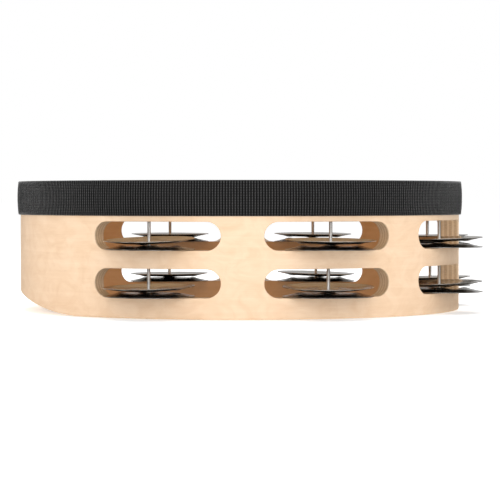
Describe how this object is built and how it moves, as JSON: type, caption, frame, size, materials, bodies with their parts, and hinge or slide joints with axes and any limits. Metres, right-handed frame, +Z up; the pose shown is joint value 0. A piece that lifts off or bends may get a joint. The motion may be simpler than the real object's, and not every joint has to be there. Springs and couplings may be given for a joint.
{
  "type": "tambourine",
  "caption": "Headed tambourine: a round plywood shell with two rows of slots holding pairs of dished steel jingles on pins, and a hand grip on one side.",
  "frame": {"origin": "on the shell's axis, in the plane of its open lower rim, at the middle of the flat face it stands on", "axes": "+Z up along the shell's axis towards the skin, -Y to the front, +X to the right; the hand grip faces -X"},
  "size_m": [0.268, 0.2742, 0.0735],
  "materials": {
    "birch_plywood": "clear satin lacquer",
    "natural_skin": "matte",
    "black_webbing": "ribbed weave",
    "nickel_plate": "polished nickel plate",
    "steel": "bright drawn wire"
  },
  "bodies": {
    "drum": {"shell": "birch_plywood", "head_skin": "natural_skin", "head_tacks": "steel", "webbing_band": "black_webbing", "pin_front_left_lower": "steel", "pin_front_left_upper": "steel", "pin_front_right_lower": "steel", "pin_front_right_upper": "steel", "pin_right_front_lower": "steel", "pin_right_front_upper": "steel", "pin_right_rear_lower": "steel", "pin_right_rear_upper": "steel", "pin_rear_right_lower": "steel", "pin_rear_right_upper": "steel", "pin_rear_left_lower": "steel", "pin_rear_left_upper": "steel"},
    "jingle_front_left_lower_bottom": {"jingle_front_left_lower_bottom": "nickel_plate"},
    "jingle_front_left_lower_top": {"jingle_front_left_lower_top": "nickel_plate"},
    "jingle_front_left_upper_bottom": {"jingle_front_left_upper_bottom": "nickel_plate"},
    "jingle_front_left_upper_top": {"jingle_front_left_upper_top": "nickel_plate"},
    "jingle_front_right_lower_bottom": {"jingle_front_right_lower_bottom": "nickel_plate"},
    "jingle_front_right_lower_top": {"jingle_front_right_lower_top": "nickel_plate"},
    "jingle_front_right_upper_bottom": {"jingle_front_right_upper_bottom": "nickel_plate"},
    "jingle_front_right_upper_top": {"jingle_front_right_upper_top": "nickel_plate"},
    "jingle_right_front_lower_bottom": {"jingle_right_front_lower_bottom": "nickel_plate"},
    "jingle_right_front_lower_top": {"jingle_right_front_lower_top": "nickel_plate"},
    "jingle_right_front_upper_bottom": {"jingle_right_front_upper_bottom": "nickel_plate"},
    "jingle_right_front_upper_top": {"jingle_right_front_upper_top": "nickel_plate"},
    "jingle_right_rear_lower_bottom": {"jingle_right_rear_lower_bottom": "nickel_plate"},
    "jingle_right_rear_lower_top": {"jingle_right_rear_lower_top": "nickel_plate"},
    "jingle_right_rear_upper_bottom": {"jingle_right_rear_upper_bottom": "nickel_plate"},
    "jingle_right_rear_upper_top": {"jingle_right_rear_upper_top": "nickel_plate"},
    "jingle_rear_right_lower_bottom": {"jingle_rear_right_lower_bottom": "nickel_plate"},
    "jingle_rear_right_lower_top": {"jingle_rear_right_lower_top": "nickel_plate"},
    "jingle_rear_right_upper_bottom": {"jingle_rear_right_upper_bottom": "nickel_plate"},
    "jingle_rear_right_upper_top": {"jingle_rear_right_upper_top": "nickel_plate"},
    "jingle_rear_left_lower_bottom": {"jingle_rear_left_lower_bottom": "nickel_plate"},
    "jingle_rear_left_lower_top": {"jingle_rear_left_lower_top": "nickel_plate"},
    "jingle_rear_left_upper_bottom": {"jingle_rear_left_upper_bottom": "nickel_plate"},
    "jingle_rear_left_upper_top": {"jingle_rear_left_upper_top": "nickel_plate"}
  },
  "joints": [
    {"name": "lift_front_left_lower_bottom", "type": "slide", "parent": "drum", "child": "jingle_front_left_lower_bottom", "axis": [0, 0, 1], "range_m": [0, 0.00435]},
    {"name": "lift_front_left_lower_top", "type": "slide", "parent": "jingle_front_left_lower_bottom", "child": "jingle_front_left_lower_top", "axis": [0, 0, 1], "range_m": [0, 0.00435]},
    {"name": "lift_front_left_upper_bottom", "type": "slide", "parent": "drum", "child": "jingle_front_left_upper_bottom", "axis": [0, 0, 1], "range_m": [0, 0.0043]},
    {"name": "lift_front_left_upper_top", "type": "slide", "parent": "jingle_front_left_upper_bottom", "child": "jingle_front_left_upper_top", "axis": [0, 0, 1], "range_m": [0, 0.0043]},
    {"name": "lift_front_right_lower_bottom", "type": "slide", "parent": "drum", "child": "jingle_front_right_lower_bottom", "axis": [0, 0, 1], "range_m": [0, 0.00425]},
    {"name": "lift_front_right_lower_top", "type": "slide", "parent": "jingle_front_right_lower_bottom", "child": "jingle_front_right_lower_top", "axis": [0, 0, 1], "range_m": [0, 0.00425]},
    {"name": "lift_front_right_upper_bottom", "type": "slide", "parent": "drum", "child": "jingle_front_right_upper_bottom", "axis": [0, 0, 1], "range_m": [0, 0.0046]},
    {"name": "lift_front_right_upper_top", "type": "slide", "parent": "jingle_front_right_upper_bottom", "child": "jingle_front_right_upper_top", "axis": [0, 0, 1], "range_m": [0, 0.0046]},
    {"name": "lift_right_front_lower_bottom", "type": "slide", "parent": "drum", "child": "jingle_right_front_lower_bottom", "axis": [0, 0, 1], "range_m": [0, 0.00425]},
    {"name": "lift_right_front_lower_top", "type": "slide", "parent": "jingle_right_front_lower_bottom", "child": "jingle_right_front_lower_top", "axis": [0, 0, 1], "range_m": [0, 0.00425]},
    {"name": "lift_right_front_upper_bottom", "type": "slide", "parent": "drum", "child": "jingle_right_front_upper_bottom", "axis": [0, 0, 1], "range_m": [0, 0.00445]},
    {"name": "lift_right_front_upper_top", "type": "slide", "parent": "jingle_right_front_upper_bottom", "child": "jingle_right_front_upper_top", "axis": [0, 0, 1], "range_m": [0, 0.00445]},
    {"name": "lift_right_rear_lower_bottom", "type": "slide", "parent": "drum", "child": "jingle_right_rear_lower_bottom", "axis": [0, 0, 1], "range_m": [0, 0.00445]},
    {"name": "lift_right_rear_lower_top", "type": "slide", "parent": "jingle_right_rear_lower_bottom", "child": "jingle_right_rear_lower_top", "axis": [0, 0, 1], "range_m": [0, 0.00445]},
    {"name": "lift_right_rear_upper_bottom", "type": "slide", "parent": "drum", "child": "jingle_right_rear_upper_bottom", "axis": [0, 0, 1], "range_m": [0, 0.00465]},
    {"name": "lift_right_rear_upper_top", "type": "slide", "parent": "jingle_right_rear_upper_bottom", "child": "jingle_right_rear_upper_top", "axis": [0, 0, 1], "range_m": [0, 0.00465]},
    {"name": "lift_rear_right_lower_bottom", "type": "slide", "parent": "drum", "child": "jingle_rear_right_lower_bottom", "axis": [0, 0, 1], "range_m": [0, 0.0043]},
    {"name": "lift_rear_right_lower_top", "type": "slide", "parent": "jingle_rear_right_lower_bottom", "child": "jingle_rear_right_lower_top", "axis": [0, 0, 1], "range_m": [0, 0.0043]},
    {"name": "lift_rear_right_upper_bottom", "type": "slide", "parent": "drum", "child": "jingle_rear_right_upper_bottom", "axis": [0, 0, 1], "range_m": [0, 0.00465]},
    {"name": "lift_rear_right_upper_top", "type": "slide", "parent": "jingle_rear_right_upper_bottom", "child": "jingle_rear_right_upper_top", "axis": [0, 0, 1], "range_m": [0, 0.00465]},
    {"name": "lift_rear_left_lower_bottom", "type": "slide", "parent": "drum", "child": "jingle_rear_left_lower_bottom", "axis": [0, 0, 1], "range_m": [0, 0.0048]},
    {"name": "lift_rear_left_lower_top", "type": "slide", "parent": "jingle_rear_left_lower_bottom", "child": "jingle_rear_left_lower_top", "axis": [0, 0, 1], "range_m": [0, 0.0048]},
    {"name": "lift_rear_left_upper_bottom", "type": "slide", "parent": "drum", "child": "jingle_rear_left_upper_bottom", "axis": [0, 0, 1], "range_m": [0, 0.0048]},
    {"name": "lift_rear_left_upper_top", "type": "slide", "parent": "jingle_rear_left_upper_bottom", "child": "jingle_rear_left_upper_top", "axis": [0, 0, 1], "range_m": [0, 0.0048]}
  ]
}
